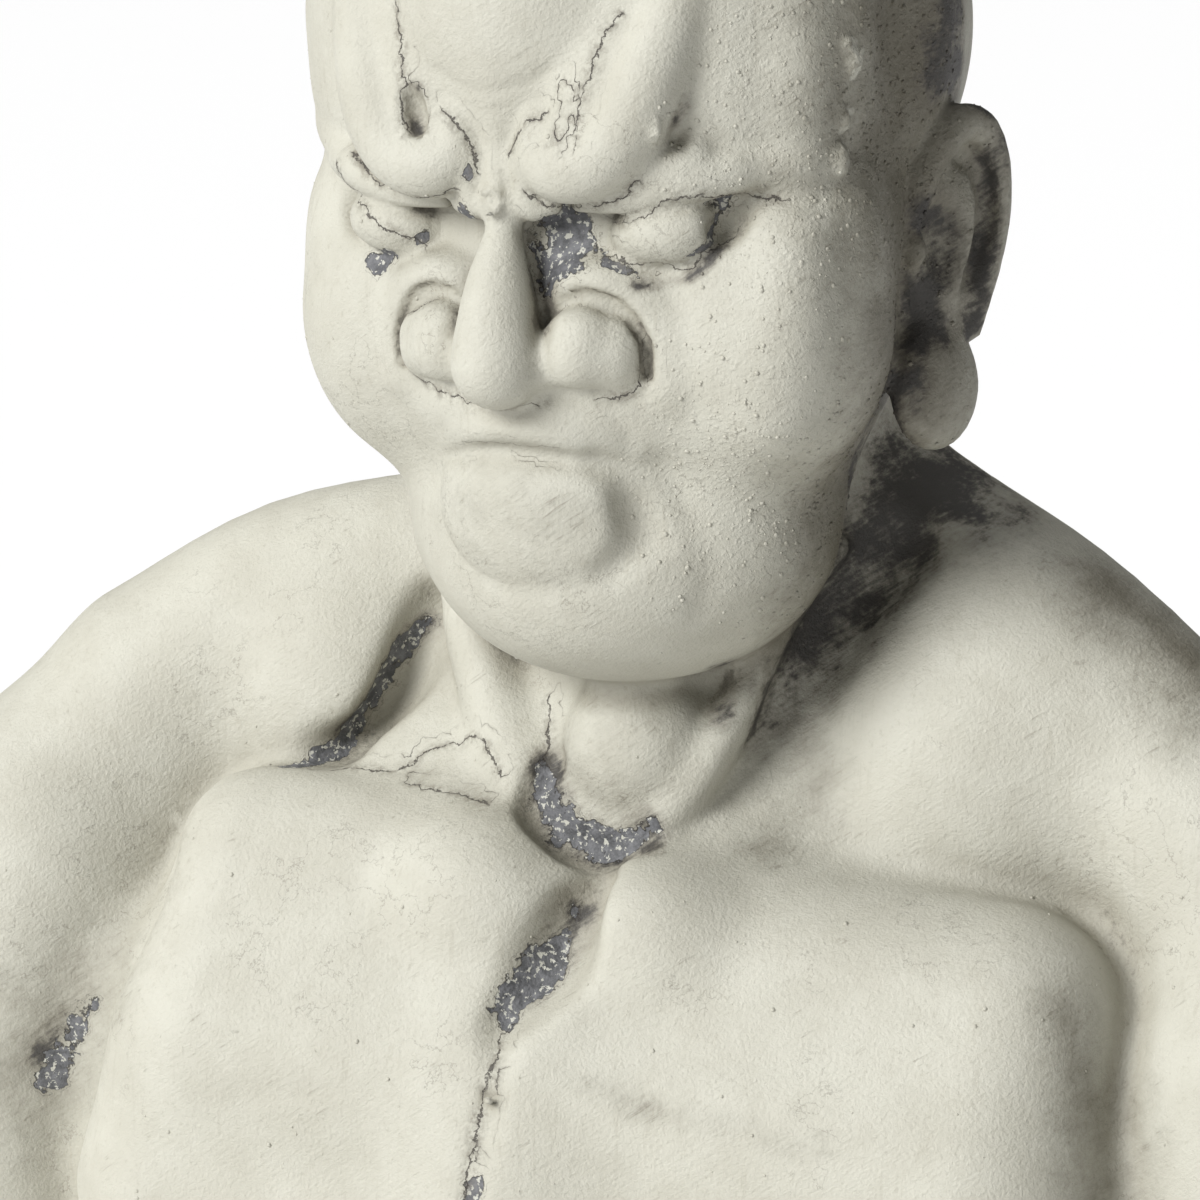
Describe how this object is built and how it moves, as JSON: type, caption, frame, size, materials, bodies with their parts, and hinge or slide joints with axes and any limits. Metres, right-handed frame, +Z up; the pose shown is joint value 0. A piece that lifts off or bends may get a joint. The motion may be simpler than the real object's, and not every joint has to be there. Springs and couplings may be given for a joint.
{
  "type": "guardian statue bust",
  "caption": "Cast-stone bust of a scowling bald temple guardian with scroll brows, long ears and a bare, muscular chest, in worn off-white paint over grey.",
  "frame": {"origin": "on the flat underside, straight below the throat notch", "axes": "+Z up out of the underside, chest facing -Y, the figure's left side towards +X"},
  "size_m": [0.3387, 0.1486, 0.2962],
  "materials": {
    "stone": "matt off-white masonry paint, dry-brushed over mid-grey cast stone"
  },
  "bodies": {
    "root": {"nio_guardian_bust": "stone"}
  },
  "joints": []
}
